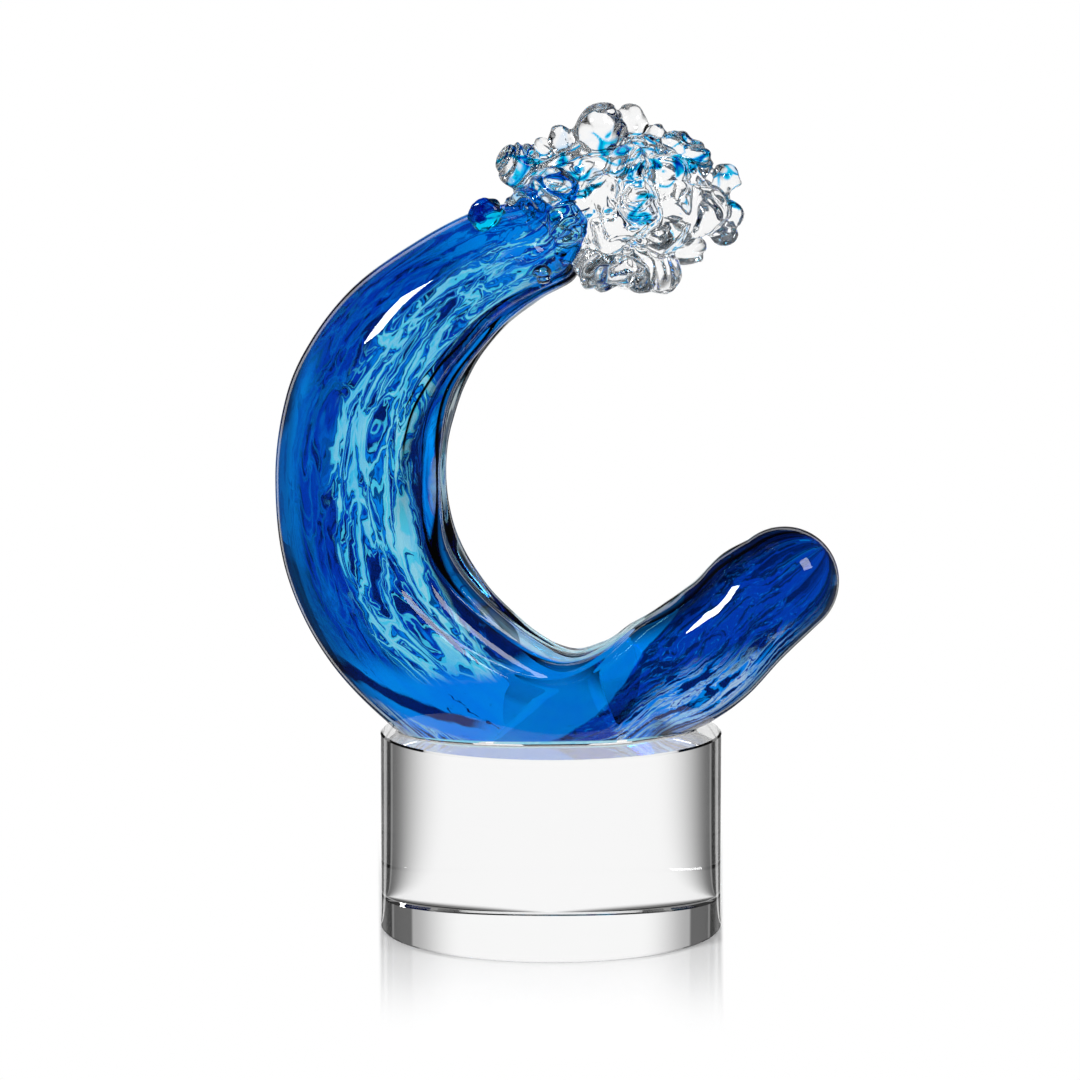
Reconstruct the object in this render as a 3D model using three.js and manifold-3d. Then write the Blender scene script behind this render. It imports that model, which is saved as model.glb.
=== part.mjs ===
// A curling glass wave, bonded by its ground foot to a round crystal base.
// Millimetres, +Z up. The origin is the centre of the base's underside.
// The viewer stands on the -Y side. The wave curls from its foam crest, round the left (-X), to its toe.
import * as THREE from "three";
import { mergeVertices } from "three/addons/utils/BufferGeometryUtils.js";
import Module from "manifold-3d";

// Crystal base
const BASE_DIAMETER = 89;
const BASE_HEIGHT = 52;
const BASE_CHAMFER = 0.6;
const BASE_SEGMENTS = 80;

// Bond and fits
const BOND_THICKNESS = 0.3;
const FUSE_GAP = 0.3;
const FOOT_Z = BASE_HEIGHT + BOND_THICKNESS;

// Glass layers of the wave, from the outside in
const CASING_BACK_WALL = 1.8;
const CASING_THROAT_WALL = 1.8;
const CASING_SIDE_WALL = 2.2;
const CASING_TOE_WALL = 2.4;
// The clear glass is thicker halfway round the hollow side, by this much.
const THROAT_SWELL = 6.8;
const AQUA_BACK_WALL = 1.6;
const AQUA_THROAT_WALL = 2.4;
const AQUA_SIDE_WALL = 1.8;
const AQUA_TOE_WALL = 2;

// Pressed ribs along the hollow side of the curl
const RIB_COUNT = 9;
const RIB_SPAN_DEG = 200;
const POINTS_PER_RIB = 3;
const BACK_POINTS = 10;

// Rows of the wave from its crest end to its toe: back point x, z; throat point x, z; half depth; rib depth.
// Heights are above the ground foot. The back is the outside of the curl, and the throat its hollow side.
const WAVE_ROWS = [
  [-10, 137.7, 8, 120.7, 15, 0.2],
  [-21.3, 134.8, 5.5, 116.9, 18.5, 0.6],
  [-35, 127.5, -2.6, 112.1, 20.5, 0.9],
  [-50.5, 116.2, -11.5, 105, 21.5, 1.2],
  [-62, 102.2, -19.5, 94.7, 22.5, 1.4],
  [-69, 87.2, -25, 81.2, 23, 1.5],
  [-71.9, 65.7, -26.8, 66.7, 23, 1.5],
  [-68.8, 40.2, -23.8, 51.2, 23.5, 1.4],
  [-57, 16.7, -16, 37.7, 24, 1.2],
  [-36, -3.8, -5, 27, 24, 0.9],
  [-13, -16.3, 5.5, 21.5, 24, 0.5],
  [14, -15, 14, 23.3, 22.5, 0.3],
  [30, -4, 21.5, 28.3, 18.5, 0.15],
  [42, 1.7, 29.5, 33.3, 17, 0],
  [51.5, 8.7, 37, 39.1, 16.5, 0],
  [60.5, 18.7, 43.5, 45.7, 16, 0],
  [69.8, 27.7, 51, 50, 15, 0],
];
const CREST_END_LENGTH = 12;
const TOE_END_LENGTH = 14.5;

// Rows of the clear crest from its nose to its neck: top point x, z; under point x, z; half depth; flute depth.
const CREST_ROWS = [
  [43.5, 139.5, 44.2, 128, 7.5, 0.5],
  [38.2, 144.5, 39.5, 127.5, 12, 1],
  [31.8, 149.5, 35.7, 126, 15, 1.2],
  [22.8, 153.8, 30, 121.8, 17.5, 1.4],
  [12.6, 153.5, 22.8, 119.8, 18.5, 1.4],
  [3, 151, 16.5, 119.5, 18.5, 1.2],
  [-6, 146.5, 10, 118.5, 17.5, 0.8],
  [-12.5, 135.2, 2.5, 122.2, 12, 0.2],
];
const CREST_NOSE_LENGTH = 5;
const CREST_NECK_LENGTH = 3;
const CREST_FLUTES = 6;
const CREST_SWELLS = 3.5;
const CREST_TWIST_DEG = 110;

// Hot-applied beads of the foam: share of the way along the crest, from nose to neck; place round it in
// degrees, 0 under, 180 on top, -90 in front and 90 behind; radius; depth sunk in; lean towards the nose;
// height of the drop over its width.
const FOAM_BEADS = [
  [0.88, -176, 6.2, 4.2, 0, 1],
  [0.79, 160, 3.6, 1.2, 0, 1],
  [0.71, -175, 3.6, 1.2, 0, 1.1],
  [0.56, -172, 7.2, 4.2, 0, 1],
  [0.45, 160, 5, 1.6, 0, 1.25],
  [0.35, 168, 3.4, 1.2, 0, 1.1],
  [0.28, -170, 4.6, 2.4, 0, 1.1],
  [0.17, -165, 5, 2.6, 0, 1.1],
  [0.04, 178, 4.4, 2.2, 3, 1],
  [0.03, -20, 4.2, 6, 1.5, 1],
  [0.01, -100, 4.6, 4.3, 1.5, 0.75],
  [0.17, -85, 7.3, 6.4, 0, 0.75],
  [0.34, -130, 5.5, 5, 0, 0.75],
  [0.5, -132, 5.7, 5.2, 0, 0.75],
  [0.34, -95, 5.5, 5, 0, 0.75],
  [0.4, -56, 5.9, 5.3, 0, 0.75],
  [0.8, -126, 5.5, 5, 0, 0.75],
  [0.83, -88, 5.5, 5, 0, 0.75],
  [0.79, -42, 6.3, 4.1, 0, 1],
  [0.68, -36, 5.5, 3.5, 0, 1],
  [0.57, -30, 5.9, 3.7, 0, 1],
  [0.46, -26, 5.7, 3.5, 0, 1.1],
  [0.49, 0, 5.3, 3.5, 0, 1],
  [0.51, -86, 5.7, 5.2, 0, 0.75],
  [0.64, -104, 5.3, 4.9, 0, 0.75],
  [0.67, -68, 5.7, 5.2, 0, 0.75],
  [0.8, 100, 6.5, 5.8, 0, 0.75],
  [0.62, 122, 6.9, 6.1, 0, 0.75],
  [0.46, 92, 6.5, 5.8, 0, 0.75],
  [0.68, 58, 6.3, 5.6, 0, 0.75],
  [0.27, 78, 5.9, 5.3, 0, 0.75],
  [0.29, 132, 5.5, 5, 0, 0.75],
  [0.48, 42, 5.9, 3.9, 0, 1],
  [0.14, 110, 5.5, 5, 0, 0.75],
  [0.88, 140, 5.5, 5, 0, 0.75],
  [0.64, 18, 5.3, 3.5, 0, 1],
  [0.3, 24, 5.3, 3.5, 0, 1],
  [0.46, 128, 5.3, 4.9, 0, 0.75],
];

// Beads applied to the wave's own body, with the same columns: a coiled one at the neck and a small drop.
const COILED_BEAD = [0.062, -130, 5.8, 2.8, 0, 1];
const SMALL_DROP = [0.075, -62, 2.8, 1.2, 0, 1.2];
const BEAD_SIDES = 10;
const BEAD_RINGS = 6;

// How finely the swept surfaces are cut
const WAVE_RINGS = 42;
const LAYER_RINGS = 22;
const LAYER_SIDES = 16;
const CREST_RINGS = 18;
const CREST_SIDES = 24;
const END_RINGS = 3;

const wasm = await Module();
wasm.setup();

// A closed geometry as a solid that can be cut and joined.
function solidOf(geometry) {
  const bare = geometry.clone();
  bare.deleteAttribute("normal");
  bare.deleteAttribute("uv");
  const merged = mergeVertices(bare, 1e-4);
  return new wasm.Manifold(
    new wasm.Mesh({
      numProp: 3,
      vertProperties: merged.attributes.position.array,
      triVerts: new Uint32Array(merged.index.array),
    }),
  );
}

function geometryOf(solid) {
  const mesh = solid.getMesh();
  const geometry = new THREE.BufferGeometry();
  geometry.setAttribute("position", new THREE.BufferAttribute(mesh.vertProperties, 3));
  geometry.setIndex(new THREE.BufferAttribute(mesh.triVerts, 1));
  geometry.computeVertexNormals();
  return geometry;
}

// The two edge curves of a swept body. The unused y of each carries the half depth and the rib depth.
function edgesOf(rows) {
  const back = rows.map(([x, z, , , depth]) => new THREE.Vector3(x, depth, z + FOOT_Z));
  const throat = rows.map(([, , x, z, , rib]) => new THREE.Vector3(x, rib, z + FOOT_Z));
  return {
    back: new THREE.CatmullRomCurve3(back, false, "catmullrom", 0.5),
    throat: new THREE.CatmullRomCurve3(throat, false, "catmullrom", 0.5),
  };
}

// The section at a share of the way along, thinned by the walls outside it.
function sectionAt(edges, share, walls) {
  const back = edges.back.getPoint(share);
  const throat = edges.throat.getPoint(share);
  const across = new THREE.Vector3(throat.x - back.x, 0, throat.z - back.z);
  const swell = walls.swell * Math.sin(Math.PI * share) ** 2;
  const half = (across.length() - walls.back - walls.throat - swell) / 2;
  across.normalize();
  const centre = new THREE.Vector3(back.x, 0, back.z).addScaledVector(across, walls.back + half);
  const travel = new THREE.Vector3(across.z, 0, -across.x);
  return { share, centre, across, travel, half, depth: back.y - walls.side, rib: throat.y };
}

function ringPoint(section, angle, scale, cut) {
  const size = scale * (1 - cut / section.half);
  const point = section.centre.clone();
  point.addScaledVector(section.across, section.half * size * Math.cos(angle));
  point.y += section.depth * size * Math.sin(angle);
  return point;
}

// A closed skin over a list of rings, with a point at each end.
function skinOf(rings, firstPole, lastPole) {
  const sides = rings[0].length;
  const points = [firstPole, ...rings.flat(), lastPole];
  const last = points.length - 1;
  const index = [];
  for (let side = 0; side < sides; side++) {
    const next = (side + 1) % sides;
    index.push(0, 1 + side, 1 + next);
    index.push(last, last - sides + next, last - sides + side);
    for (let ring = 0; ring < rings.length - 1; ring++) {
      const a = 1 + ring * sides;
      const b = a + sides;
      index.push(a + side, b + side, b + next);
      index.push(a + side, b + next, a + next);
    }
  }
  const geometry = new THREE.BufferGeometry().setFromPoints(points);
  geometry.setIndex(index);
  return geometry;
}

// A body swept along two edge curves, rounded off at both ends.
function sweep(edges, { walls, angles, cutAt, rings, startLength, endLength }) {
  const list = [];
  const dome = (section, length, turn) => {
    const moved = { ...section, centre: section.centre.clone() };
    moved.centre.addScaledVector(section.travel, length * Math.sin(turn));
    return angles.map((angle) => ringPoint(moved, angle, Math.cos(turn), cutAt(angle, section)));
  };
  const turns = Array.from({ length: END_RINGS }, (_, i) => ((i + 1) * Math.PI) / 2 / (END_RINGS + 1));
  const first = sectionAt(edges, 0, walls);
  const last = sectionAt(edges, 1, walls);
  for (const turn of turns.toReversed()) list.push(dome(first, -startLength, turn));
  for (let i = 0; i <= rings; i++) {
    const section = sectionAt(edges, i / rings, walls);
    list.push(angles.map((angle) => ringPoint(section, angle, 1, cutAt(angle, section))));
  }
  for (const turn of turns) list.push(dome(last, endLength, turn));
  const start = first.centre.clone().addScaledVector(first.travel, -startLength);
  const end = last.centre.clone().addScaledVector(last.travel, endLength);
  return solidOf(skinOf(list, start, end));
}

const waveEdges = edgesOf(WAVE_ROWS);
const crestEdges = edgesOf(CREST_ROWS);
const RIB_SPAN = THREE.MathUtils.degToRad(RIB_SPAN_DEG);
const RIB_PITCH = RIB_SPAN / RIB_COUNT;
const CREST_TWIST = THREE.MathUtils.degToRad(CREST_TWIST_DEG);

function evenAngles(sides) {
  return Array.from({ length: sides }, (_, i) => (i * 2 * Math.PI) / sides);
}

// Ring angles of the wave: close together over the ribs, wider over the smooth back.
function ribbedAngles() {
  const ribbed = RIB_COUNT * POINTS_PER_RIB;
  const backStep = (2 * Math.PI - RIB_SPAN) / BACK_POINTS;
  const angles = [];
  for (let i = 0; i <= ribbed; i++) angles.push((i / ribbed - 0.5) * RIB_SPAN);
  for (let i = 1; i < BACK_POINTS; i++) angles.push(RIB_SPAN / 2 + i * backStep);
  return angles;
}

function ribCut(angle, { rib }) {
  if (angle > RIB_SPAN / 2) return 0;
  return (rib * (1 - Math.cos((2 * Math.PI * (angle + RIB_SPAN / 2)) / RIB_PITCH))) / 2;
}

// The crest swells and pinches along its length and round it, like a splash.
function fluteCut(angle, { share, rib }) {
  const round = Math.cos(CREST_FLUTES * angle + share * CREST_TWIST);
  const along = Math.cos(2 * Math.PI * CREST_SWELLS * share);
  return rib * (1 - round * along);
}

// The outside of the wave before it is ground flat, grown by a gap all round.
function waveOutside(grown) {
  return sweep(waveEdges, {
    walls: { back: -grown, throat: -grown, side: -grown, swell: 0 },
    angles: ribbedAngles(),
    cutAt: ribCut,
    rings: WAVE_RINGS,
    startLength: CREST_END_LENGTH + grown,
    endLength: TOE_END_LENGTH + grown,
  });
}

// A smooth layer inside the wave, under the given walls.
function waveLayer(walls) {
  return sweep(waveEdges, {
    walls,
    angles: evenAngles(LAYER_SIDES),
    cutAt: () => 0,
    rings: LAYER_RINGS,
    startLength: CREST_END_LENGTH - walls.end,
    endLength: TOE_END_LENGTH - walls.end,
  });
}

function thicker(walls, extra) {
  return {
    back: walls.back + extra,
    throat: walls.throat + extra,
    side: walls.side + extra,
    end: walls.end + extra,
    swell: walls.swell,
  };
}

function crestOutside(grown) {
  return sweep(crestEdges, {
    walls: { back: -grown, throat: -grown, side: -grown, swell: 0 },
    angles: evenAngles(CREST_SIDES),
    cutAt: fluteCut,
    rings: CREST_RINGS,
    startLength: CREST_NOSE_LENGTH + grown,
    endLength: CREST_NECK_LENGTH + grown,
  });
}

// Everything above or below a height, as a block to cut with.
function slab(bottom, top) {
  const reach = 4 * BASE_DIAMETER;
  const block = new THREE.BoxGeometry(reach, reach, top - bottom);
  block.translate(0, 0, (bottom + top) / 2);
  return solidOf(block);
}

// A drop of glass sunk a little into a swept body, standing out along the body's surface.
function bead(edges, [share, degrees, radius, sunk, lean, stretch], grown) {
  const angle = THREE.MathUtils.degToRad(degrees);
  const section = sectionAt(edges, share, { back: 0, throat: 0, side: 0, swell: 0 });
  const outward = new THREE.Vector3(0, Math.sin(angle) / section.depth, 0);
  outward.addScaledVector(section.across, Math.cos(angle) / section.half).normalize();
  const centre = ringPoint(section, angle, 1, 0);
  centre.addScaledVector(outward, radius * stretch - sunk);
  centre.addScaledVector(section.travel, -lean);
  const drop = new THREE.SphereGeometry(radius + grown, BEAD_SIDES, BEAD_RINGS);
  drop.scale(1, stretch, 1);
  drop.applyQuaternion(new THREE.Quaternion().setFromUnitVectors(new THREE.Vector3(0, 1, 0), outward));
  drop.translate(centre.x, centre.y, centre.z);
  return solidOf(drop);
}

function crystalBase() {
  const radius = BASE_DIAMETER / 2;
  const profile = [
    [0, 0],
    [radius - BASE_CHAMFER, 0],
    [radius, BASE_CHAMFER],
    [radius, BASE_HEIGHT - BASE_CHAMFER],
    [radius - BASE_CHAMFER, BASE_HEIGHT],
    [0, BASE_HEIGHT],
  ].map(([r, z]) => new THREE.Vector2(r, z));
  return new THREE.LatheGeometry(profile, BASE_SEGMENTS).rotateX(Math.PI / 2);
}

const GLASS = {
  crystal: { color: 0xf4f8fa, roughness: 0.02, metalness: 0 },
  bond: { color: 0xe9f1f5, roughness: 0.1, metalness: 0 },
  clear: { color: 0xe8f3fb, roughness: 0.03, metalness: 0 },
  aqua: { color: 0x2fb4e8, roughness: 0.05, metalness: 0 },
  cobalt: { color: 0x0a3fb8, roughness: 0.05, metalness: 0 },
};

const award = new THREE.Group();

function addPiece(name, geometry, finish) {
  const mesh = new THREE.Mesh(geometry, new THREE.MeshStandardMaterial(GLASS[finish]));
  mesh.name = name;
  award.add(mesh);
}

const aboveFoot = slab(FOOT_Z, FOOT_Z + 4 * BASE_DIAMETER);
const bondSlab = slab(BASE_HEIGHT, FOOT_Z);
const aquaWalls = {
  back: CASING_BACK_WALL,
  throat: CASING_THROAT_WALL,
  side: CASING_SIDE_WALL,
  end: CASING_TOE_WALL,
  swell: THROAT_SWELL,
};
const cobaltWalls = {
  back: CASING_BACK_WALL + AQUA_BACK_WALL,
  throat: CASING_THROAT_WALL + AQUA_THROAT_WALL,
  side: CASING_SIDE_WALL + AQUA_SIDE_WALL,
  end: CASING_TOE_WALL + AQUA_TOE_WALL,
  swell: THROAT_SWELL,
};

const wholeWave = waveOutside(0);
const casing = wholeWave.subtract(waveLayer(aquaWalls)).intersect(aboveFoot);
const aquaSleeve = waveLayer(thicker(aquaWalls, FUSE_GAP)).subtract(waveLayer(cobaltWalls)).intersect(aboveFoot);
const cobaltCore = waveLayer(thicker(cobaltWalls, FUSE_GAP)).intersect(aboveFoot);
const grownWave = waveOutside(FUSE_GAP);
const crest = crestOutside(0).subtract(grownWave);

addPiece("crystal_base", crystalBase(), "crystal");
addPiece("bond_film", geometryOf(wholeWave.intersect(bondSlab)), "bond");
addPiece("wave_casing", geometryOf(casing), "clear");
addPiece("aqua_sleeve", geometryOf(aquaSleeve), "aqua");
addPiece("cobalt_core", geometryOf(cobaltCore), "cobalt");
addPiece("crest_gather", geometryOf(crest), "clear");

// Each bead is cut by the body that it sits on and by the beads that were applied before it.
let taken = grownWave.add(crestOutside(FUSE_GAP));

function addBead(name, edges, row, finish) {
  addPiece(name, geometryOf(bead(edges, row, 0).subtract(taken)), finish);
  taken = taken.add(bead(edges, row, FUSE_GAP));
}

addBead("coiled_bead", waveEdges, COILED_BEAD, "aqua");
addBead("small_drop", waveEdges, SMALL_DROP, "clear");
FOAM_BEADS.forEach((row, i) => {
  addBead("foam_bead_" + String(i + 1).padStart(2, "0"), crestEdges, row, "clear");
});

export default award;
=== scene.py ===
"""A curling glass wave on a round crystal base, dressed for a studio picture.

The wave is one hot-worked body: ribbed clear glass over an aqua layer and a cobalt core, with a
crest of clear foam. Sizes are in millimetres here and in metres in the scene.
"""

import math
import random

import bmesh
import bpy
from bpy.props import FloatProperty, FloatVectorProperty, IntProperty, PointerProperty
from mathutils import Matrix, Vector, bvhtree, kdtree, noise


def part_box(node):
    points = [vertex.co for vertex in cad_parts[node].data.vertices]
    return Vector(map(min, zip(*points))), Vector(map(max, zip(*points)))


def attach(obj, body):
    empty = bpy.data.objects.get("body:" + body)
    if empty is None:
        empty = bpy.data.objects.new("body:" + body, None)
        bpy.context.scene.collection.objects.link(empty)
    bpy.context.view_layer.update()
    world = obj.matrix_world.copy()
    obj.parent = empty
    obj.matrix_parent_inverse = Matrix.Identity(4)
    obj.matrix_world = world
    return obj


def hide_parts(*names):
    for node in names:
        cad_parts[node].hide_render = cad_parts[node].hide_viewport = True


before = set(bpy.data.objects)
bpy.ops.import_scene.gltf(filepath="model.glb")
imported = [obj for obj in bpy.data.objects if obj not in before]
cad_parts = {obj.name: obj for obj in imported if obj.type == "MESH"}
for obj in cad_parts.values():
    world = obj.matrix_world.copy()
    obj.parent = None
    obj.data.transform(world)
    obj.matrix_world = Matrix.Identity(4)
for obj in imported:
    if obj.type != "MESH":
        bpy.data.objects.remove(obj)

bl_info = {
    "name": "Glass wave award",
    "version": (1, 0, 0),
    "blender": (4, 5, 0),
    "location": "3D View > Sidebar > Glass Wave",
    "description": "Builds a curling glass wave with a foam crest on a crystal base",
    "category": "Add Mesh",
}

MM = 0.001
BODY = "root"

# A hair's breadth keeps faces that touch from lying on each other.
HAIR = 0.03

# The base and foot as the frame has them, in millimetres.
BASE_LOW, BASE_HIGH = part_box("crystal_base")
BASE_RADIUS = (BASE_HIGH[0] - BASE_LOW[0]) / 2 / MM
BASE_TOP = BASE_HIGH[2] / MM
FOOT_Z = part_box("bond_film")[1][2] / MM

# The polished chamfer of the base, and the least turn between two faces that shows as an edge.
CHAMFER = 0.5
SHARP_TURN = 0.4
BASE_SEGMENTS = 256

# Rows of the wave from its crest end to its toe: back point x, z; throat point x, z; half depth;
# rib depth; half of the angle that the ribs cover, in degrees. Heights are above the ground foot.
WAVE_ROWS = (
    (-10, 137.7, 8, 120.7, 15, 0.4, 60),
    (-21.3, 134.8, 5.5, 116.9, 18.5, 0.8, 64),
    (-35, 127.5, -2.6, 112.1, 20.5, 1.1, 72),
    (-50.5, 116.2, -11.5, 105, 21.5, 1.4, 84),
    (-62, 102.2, -19.5, 94.7, 22.5, 1.6, 94),
    (-69, 87.2, -25, 81.2, 23, 1.7, 100),
    (-71.9, 65.7, -26.8, 66.7, 23, 1.7, 104),
    (-68.8, 40.2, -23.8, 51.2, 23.5, 1.6, 100),
    (-57, 16.7, -16, 37.7, 24, 1.5, 88),
    (-36, -3.8, -5, 27, 24, 1.2, 72),
    (-13, -16.3, 5.5, 21.5, 24, 0.8, 56),
    (14, -15, 14, 23.3, 22.5, 0.4, 40),
    (30, -4, 21.5, 28.3, 18.5, 0.15, 30),
    (42, 1.7, 29.5, 33.3, 17, 0, 30),
    (51.5, 8.7, 37, 39.1, 16.5, 0, 30),
    (60.5, 18.7, 43.5, 45.7, 16, 0, 30),
    (69.8, 27.7, 51, 50, 15, 0, 30),
)
# Walls outside the aqua layer and outside the cobalt: at the back, the throat and the sides.
AQUA_WALLS = (1.8, 1.8, 2.2)
COBALT_WALLS = (3.4, 4.2, 4.0)
# How much thicker the wall gets in the middle of the throat.
THROAT_SWELL = 6.8
CREST_END_LENGTH = 12
TOE_END_LENGTH = 14.5
WAVE_ENDS = (CREST_END_LENGTH, TOE_END_LENGTH)
# The share of a swept body's rings that each rounded end takes.
END_SHARE = 0.06
# The ribs' ropes of glass from side to side, and the share of each ring's points that they get.
RIB_ROPES = 3.5
RIBBED_SHARE = 0.7

# Rows of the crest from its nose to its neck: top point x, z; under point x, z; half depth;
# flute depth.
CREST_ROWS = (
    (43.5, 139.5, 44.2, 128, 7.5, 0.5),
    (38.2, 144.5, 39.5, 127.5, 12, 1),
    (31.8, 149.5, 35.7, 126, 15, 1.2),
    (22.8, 153.8, 30, 121.8, 17.5, 1.4),
    (12.6, 153.5, 22.8, 119.8, 18.5, 1.4),
    (3, 151, 16.5, 119.5, 18.5, 1.2),
    (-6, 146.5, 10, 118.5, 17.5, 0.8),
    (-12.5, 135.2, 2.5, 122.2, 12, 0.2),
)
CREST_ENDS = (5, 3)
CREST_FLUTES = 6
CREST_SWELLS = 3.5
CREST_TWIST = math.radians(110)

# Beads of the foam: share of the way along the crest from nose to neck, place round it in degrees
# (0 under, 180 on top, -90 in front), radius, depth sunk in, lean towards the nose, and height
# over width.
FOAM_BEADS = (
    (0.88, -176, 6.2, 4.2, 0, 1),
    (0.79, 160, 3.6, 1.2, 0, 1),
    (0.71, -175, 3.6, 1.2, 0, 1.1),
    (0.56, -172, 7.2, 4.2, 0, 1),
    (0.45, 160, 5, 1.6, 0, 1.25),
    (0.35, 168, 3.4, 1.2, 0, 1.1),
    (0.28, -170, 4.6, 2.4, 0, 1.1),
    (0.17, -165, 5, 2.6, 0, 1.1),
    (0.04, 178, 4.4, 2.2, 3, 1),
    (0.03, -20, 4.2, 6, 1.5, 1),
    (0.01, -100, 4.6, 4.3, 1.5, 0.75),
    (0.17, -85, 7.3, 6.4, 0, 0.75),
    (0.34, -130, 5.5, 5, 0, 0.75),
    (0.5, -132, 5.7, 5.2, 0, 0.75),
    (0.34, -95, 5.5, 5, 0, 0.75),
    (0.4, -56, 5.9, 5.3, 0, 0.75),
    (0.8, -126, 5.5, 5, 0, 0.75),
    (0.83, -88, 5.5, 5, 0, 0.75),
    (0.79, -42, 6.3, 4.1, 0, 1),
    (0.68, -36, 5.5, 3.5, 0, 1),
    (0.57, -30, 5.9, 3.7, 0, 1),
    (0.46, -26, 5.7, 3.5, 0, 1.1),
    (0.49, 0, 5.3, 3.5, 0, 1),
    (0.51, -86, 5.7, 5.2, 0, 0.75),
    (0.64, -104, 5.3, 4.9, 0, 0.75),
    (0.67, -68, 5.7, 5.2, 0, 0.75),
    (0.8, 100, 6.5, 5.8, 0, 0.75),
    (0.62, 122, 6.9, 6.1, 0, 0.75),
    (0.46, 92, 6.5, 5.8, 0, 0.75),
    (0.68, 58, 6.3, 5.6, 0, 0.75),
    (0.27, 78, 5.9, 5.3, 0, 0.75),
    (0.29, 132, 5.5, 5, 0, 0.75),
    (0.48, 42, 5.9, 3.9, 0, 1),
    (0.14, 110, 5.5, 5, 0, 0.75),
    (0.88, 140, 5.5, 5, 0, 0.75),
    (0.64, 18, 5.3, 3.5, 0, 1),
    (0.3, 24, 5.3, 3.5, 0, 1),
    (0.46, 128, 5.3, 4.9, 0, 0.75),
)
SMALL_DROP = (0.075, -62, 2.8, 1.2, 0, 1.2)

# Strands laid over the foam's skin, front and back: radius, then x and z of each point.
STRANDS = (
    (
        *(2.3, (-17.8, 190.3), (-10.2, 196.2), (-1.3, 199.4)),
        *((8.0, 203.0), (16.4, 204.6), (23.4, 205.0), (30.0, 202.4)),
    ),
    (2.0, (-12.2, 188.8), (-4.4, 194.4), (4.5, 198.0), (12.1, 200.6), (20.9, 201.4)),
    (1.9, (-7.4, 184.8), (-1.9, 189.6), (4.7, 191.3), (11.0, 193.3), (15.1, 197.0), (19.6, 200.0)),
    (2.2, (1.0, 181.6), (6.0, 187.6), (13.1, 189.8), (18.4, 189.2), (21.5, 185.9), (24.5, 181.9)),
    (1.8, (0.7, 176.4), (5.5, 182.0), (11.1, 183.6), (18.4, 183.0), (23.5, 179.3)),
    (2.2, (27.8, 205.1), (33.6, 200.3), (36.9, 194.3), (38.0, 188.0)),
    (1.9, (34.7, 187.0), (30.5, 189.6), (26.5, 191.4)),
    (1.8, (34.7, 187.0), (40.0, 190.2), (45.4, 194.0)),
    (1.8, (34.7, 187.0), (39.5, 185.2), (44.6, 183.2)),
    (1.7, (34.7, 187.0), (31.8, 183.2), (29.6, 178.6)),
    (1.8, (4.0, 176.6), (9.8, 178.6), (16.0, 177.4), (22.0, 175.2)),
)

# Curls wound on the skin, front and back: x, z, radius of the curl and of its rope, turns.
CURLS = (
    (3.4, 195.0, 4.0, 1.2, 1.5),
    (20.6, 196.8, 4.4, 1.4, 1.4),
    (30.6, 196.6, 3.8, 1.3, 1.4),
    (12.0, 184.5, 3.2, 1.1, 1.3),
)
# The coil at the neck: x, y, z and radius; then its turns and the radius of its rope.
COIL = (-16.8, -17.5, 187.3, 5.4)
COIL_TURNS = 2.3
COIL_ROPE = 1.05
SMALL_HOOK = (0.9, (-11.0, 178.4), (-9.6, 176.4), (-7.0, 175.8))
# Small drops at random places that fill the hollows between the beads.
FILL_DROPS = 14
FILL_SEED = 11
FILL_RADII = (2.2, 4.2)
# How many folds the foam's skin has for each step of the noise that winds them.
FOLD_RINGS = 2.2
# How far a fold's crest stays under the skin, as a share of its height.
FOLD_DROP = 0.8
FOAM_SEED = Vector((3.1, 7.7, 1.3))
# The seam between foam and wave: how near to both skins it lies, and how often it is smoothed.
SEAM_REACH = 0.9
SEAM_ROUNDS = 8

# Where the foam's glass holds blue: x, z, reach, and the share of it that is blue all over.
BLUE_SPOTS = (
    (-17.5, 187.3, 9.0, 0.6),
    (-7.0, 186.0, 11.0, 0.3),
    (-8.5, 200.0, 9.0, 0.05),
    (4.0, 196.5, 10.0, 0.0),
    (15.0, 203.0, 5.5, 0.0),
    (24.0, 200.0, 8.0, 0.0),
    (23.5, 188.5, 5.0, 0.2),
    (36.0, 202.5, 8.0, 0.0),
    (46.5, 194.5, 6.0, 0.0),
)

# The way the foam was drawn out, as x and z.
FOAM_FLOW = (0.93, 0.37)

# Refraction of the base, of the bond film, of the wave's glass, and of glass fused inside it.
CRYSTAL_IOR = 1.52
BOND_IOR = 1.48
GLASS_IOR = 1.5
FUSED_IOR = 1.0
# What the cobalt glass lets through, and how strongly it takes the rest.
WATER_COLOUR = (0.35, 0.86, 1.0)
WATER_DENSITY = 30

# The camera as it stood for the photograph: place in millimetres, tilt down in degrees, lens.
CAMERA_PLACE = (-2.87, -1153.2, 254.1)
CAMERA_TILT = 7.515
CAMERA_LENS = 149.35
WORLD_LEVEL = 0.7
LAMP_AIM = (0, 0, 0.1)
# How far below the glass the floor counts as lying, when its brightness is told by its direction.
FLOOR_DIP = 1.5
FLOOR_SIZE = 4000
# Metres from the middle: where the floor's shine and shade end, where its far part brightens, and
# the half width of the strip that mirrors the base.
SHINE_REACH = (0.045, 0.15)
SHADE_REACH = (0.05, 0.15)
FAR_REACH = (0.35, 0.5)
STRIP_EDGE = (0.0443, 0.0455)
BOUNCES = 24
CLEAR_BOUNCES = 32


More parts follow.
